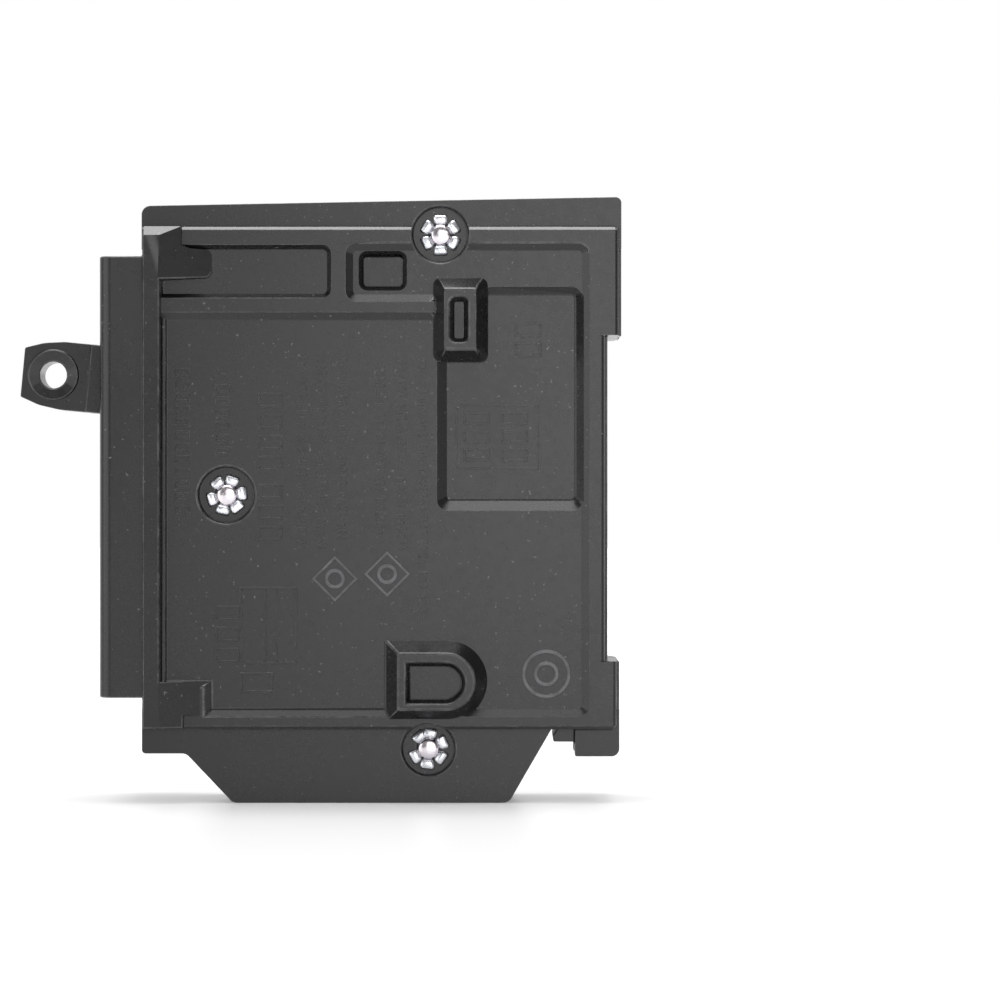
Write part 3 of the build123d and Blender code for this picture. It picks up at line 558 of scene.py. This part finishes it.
def petal(work, x, z, seat, direction):
    """One crimped petal: a crowned tongue that rises off the tube and bends down to the seat."""
    a = math.radians(direction)
    across = (-0.95, -0.6, 0.0, 0.6, 0.95)

    def at(r, t, h):
        return work.verts.new(((x + r * math.cos(a) - t * math.sin(a)) * MM, -(seat + h) * MM,
                               (z + r * math.sin(a) + t * math.cos(a)) * MM))

    rows = []
    for out, height, half in PETAL:
        r = PETAL_IN + out * (PETAL_OUT - PETAL_IN)
        wrinkle = 0.09 * noise.noise(Vector((r * 2.6, a * 3.1, x)))
        top = [at(r, half * v, height * (1 - 0.22 * v * v) + wrinkle * (1 + v)) for v in across]
        rows.append([at(r, half * across[0] * 1.04, -0.02)] + top + [at(r, half * across[-1] * 1.04, -0.02)])
    for low, high in zip(rows, rows[1:]):
        for k in range(len(low) - 1):
            work.faces.new((low[k], low[k + 1], high[k + 1], high[k]))
    work.faces.new(rows[0])
    work.faces.new(rows[-1][::-1])


work = bmesh.new()
for x, z, seat, directions in STARS:
    turned_ring(work, x, z, [(r, seat + h) for r, h in HEAD] + [(1.45, -seat + 0.2)])
    for face in turned_ring(work, x, z, [(r, -(seat + h)) for r, h in DOME]):
        face.material_index = 1
    for direction in directions:
        petal(work, x, z, seat, direction)
bmesh.ops.recalc_face_normals(work, faces=work.faces)
piece_from(work, "rivet_stars", "case", "case_rivets", "zinc_steel", [materials["zinc_steel"], polished_pin])


# ---- raised marks of the label area: plain dashes, frames and discs --------------------
LABEL_Y, PANEL_Y = -10.29, -9.39
RISE, SLOPE, SUNK = 0.11, 0.07, 0.05      # height of the marks, run of their sides, depth of their feet
chance = random.Random(7)


def block(work, x0, x1, z0, z1, y=LABEL_Y):
    """Raised rectangle with sloping sides."""
    low = (x0, x1, z0, z1, y + SUNK)
    high = (x0 + SLOPE, x1 - SLOPE, z0 + SLOPE, z1 - SLOPE, y - RISE)
    ring = []
    for xa, xb, za, zb, depth in (low, high):
        ring.append([work.verts.new((px * MM, depth * MM, pz * MM))
                     for px, pz in ((xa, za), (xb, za), (xb, zb), (xa, zb))])
    work.faces.new(ring[1])
    for k in range(4):
        side = work.faces.new((ring[0][k], ring[0][(k + 1) % 4], ring[1][(k + 1) % 4], ring[1][k]))
        side.material_index = 1


def frame_of_bars(work, x0, x1, z0, z1, stroke, y=LABEL_Y):
    """Rectangle drawn with four raised bars."""
    block(work, x0, x1, z0, z0 + stroke, y)
    block(work, x0, x1, z1 - stroke, z1, y)
    block(work, x0, x0 + stroke, z0 + stroke, z1 - stroke, y)
    block(work, x1 - stroke, x1, z0 + stroke, z1 - stroke, y)


def hoop(work, x, z, radius, stroke, sides=32):
    """Raised ring; with four sides it is a diamond."""
    steps = [(radius, LABEL_Y + SUNK), (radius - SLOPE, LABEL_Y - RISE),
             (radius - stroke + SLOPE, LABEL_Y - RISE), (radius - stroke, LABEL_Y + SUNK)]
    rings = [[work.verts.new(((x + r * math.cos(k * math.tau / sides)) * MM, depth * MM,
                              (z + r * math.sin(k * math.tau / sides)) * MM)) for k in range(sides)]
             for r, depth in steps]
    for low, high in zip(rings, rings[1:]):
        for k in range(sides):
            side = work.faces.new((low[k], low[(k + 1) % sides], high[(k + 1) % sides], high[k]))
            side.material_index = 1


def dashes(work, x0, x1, z0, z1, dash, gap, space, y=LABEL_Y):
    """A column of dashes in groups, from z0 up to z1."""
    z = z0
    left = chance.randint(3, 7)
    while z + dash < z1:
        if x1 - x0 > 1.5:
            frame_of_bars(work, x0, x1, z, z + dash, 0.36, y)
        else:
            block(work, x0 + chance.choice((0, 0, 0.25)), x1 - chance.choice((0, 0, 0.25)), z, z + dash, y)
        z += dash + gap
        left -= 1
        if left == 0:
            z += space
            left = chance.randint(3, 7)


work = bmesh.new()
dashes(work, -18.1, -16.2, 36.6, 55.4, 1.15, 0.42, 0.0)
dashes(work, -13.0, -11.1, 44.0, 53.5, 1.15, 0.42, 0.0)
dashes(work, -7.6, -4.5, 33.2, 53.6, 1.9, 0.75, 0.9)
for x0, low in ((-2.7, 32.0), (-0.2, 32.3), (2.4, 33.4), (7.2, 34.0), (9.9, 32.0), (12.6, 23.4)):
    dashes(work, x0, x0 + 1.25, low, 56.6, 0.48, 0.34, 0.55)
dashes(work, -13.0, -9.9, 17.8, 26.0, 1.9, 0.75, 0.0)
# gauge for the length of bare wire: two upright bars in a frame, with a tab below
frame_of_bars(work, -9.9, -2.6, 17.6, 27.4, 0.36)
for x in (-6.9, -5.4):
    block(work, x, x + 0.34, 17.95, 27.05)
frame_of_bars(work, -9.9, -5.6, 14.0, 16.6, 0.36)
for x, z in ((2.1, 28.4), (8.7, 29.0)):
    hoop(work, x, z, 2.9, 0.42, 4)
    hoop(work, x, z, 1.3, 0.5)
hoop(work, 28.8, 16.4, 3.1, 0.5)
hoop(work, 28.8, 16.4, 1.6, 0.5)
frame_of_bars(work, 17.3, 27.9, 42.2, 50.4, 0.3, PANEL_Y)
dashes(work, 18.3, 21.7, 43.2, 49.8, 1.7, 0.6, 0.0, PANEL_Y)
dashes(work, 23.1, 26.5, 43.2, 49.8, 1.7, 0.6, 0.0, PANEL_Y)
dashes(work, 24.8, 28.2, 56.4, 61.4, 1.9, 0.6, 0.0, PANEL_Y)
bmesh.ops.recalc_face_normals(work, faces=work.faces)
# the marks' sloping sides take the second material, a painted highlight
marks = piece_from(work, "label_marks", "case", None, "case_plastic", [materials["case_plastic"], mark_sides_painted_highlight])
for polygon in marks.data.polygons:
    polygon.use_smooth = False


# ---- floor, light and camera ----------------------------------------------------------
bpy.ops.mesh.primitive_plane_add(size=6.0, location=(0, 0, 0))
floor = bpy.context.object
floor.name = "floor"
n = Nodes("pale_floor")
where = n.position()
n.link(n.mix(n.noise(where, 0.004, 2.0), (0.50, 0.50, 0.51), (0.54, 0.54, 0.54)), n.bsdf.inputs["Base Color"])
far = n.add("ShaderNodeVectorMath", operation="LENGTH")
n.link(where, far.inputs[0])
n.link(n.mapped(far.outputs["Value"], 100.0, 700.0, 0.22, 0.95), n.bsdf.inputs["Emission Strength"])
n.set(Roughness=0.3, IOR=1.2, Emission_Color=(1.0, 1.0, 1.0, 1.0))
floor.data.materials.append(n.mat)


def softbox(name, place, target, size, power):
    lamp = bpy.data.lights.new(name, "AREA")
    lamp.shape = "RECTANGLE"
    lamp.size, lamp.size_y = size
    lamp.energy = power
    holder = bpy.data.objects.new(name, lamp)
    holder.location = place
    holder.rotation_euler = (Vector(target) - Vector(place)).to_track_quat("-Z", "Y").to_euler()
    bpy.context.scene.collection.objects.link(holder)
    holder.visible_camera = False


softbox("overhead", (0.0, -0.02, 0.50), (0, 0, 0.03), (0.36, 0.34), 3.1)
softbox("overhead_rear", (0.0, 0.28, 0.60), (0, 0.02, 0.03), (0.7, 0.5), 2.2)
softbox("overhead_front", (0.0, -0.33, 0.50), (0, 0, 0.03), (0.6, 0.2), 0.64)
softbox("front", (0.14, -0.70, 0.12), (0.01, 0, 0.04), (0.38, 0.34), 1.05)
softbox("left", (-0.59, -0.38, 0.12), (-0.02, 0, 0.04), (0.72, 0.42), 1.5)

world = bpy.data.worlds.new("white_room")
bpy.context.scene.world = world
world.use_nodes = True
tree = world.node_tree
back = tree.nodes["Background"]
coords = tree.nodes.new("ShaderNodeTexCoord")
split = tree.nodes.new("ShaderNodeSeparateXYZ")
tree.links.new(coords.outputs["Generated"], split.inputs[0])
ramp = tree.nodes.new("ShaderNodeMapRange")
tree.links.new(split.outputs[1], ramp.inputs[0])
for socket, number in zip(ramp.inputs[1:5], (0.1, 0.6, 0.22, 1.0)):
    socket.default_value = number
seen = tree.nodes.new("ShaderNodeLightPath")
pick = tree.nodes.new("ShaderNodeMix")
tree.links.new(seen.outputs["Is Camera Ray"], pick.inputs[0])
tree.links.new(ramp.outputs[0], pick.inputs[2])
pick.inputs[3].default_value = 1.0
back.inputs[0].default_value = (1.0, 1.0, 1.0, 1)
tree.links.new(pick.outputs[0], back.inputs[1])

scene = bpy.context.scene
scene.view_settings.view_transform = "Standard"
scene.view_settings.look = "None"

camera = bpy.data.objects.new("camera", bpy.data.cameras.new("camera"))
scene.collection.objects.link(camera)
camera.location = (22.95 * MM, -574.7 * MM, 38.35 * MM)
camera.rotation_euler = (math.radians(90), 0, 0)
camera.data.sensor_width = 36.0
camera.data.lens = 160.92
camera.data.clip_start = 0.01
camera.data.clip_end = 20.0
scene.camera = camera
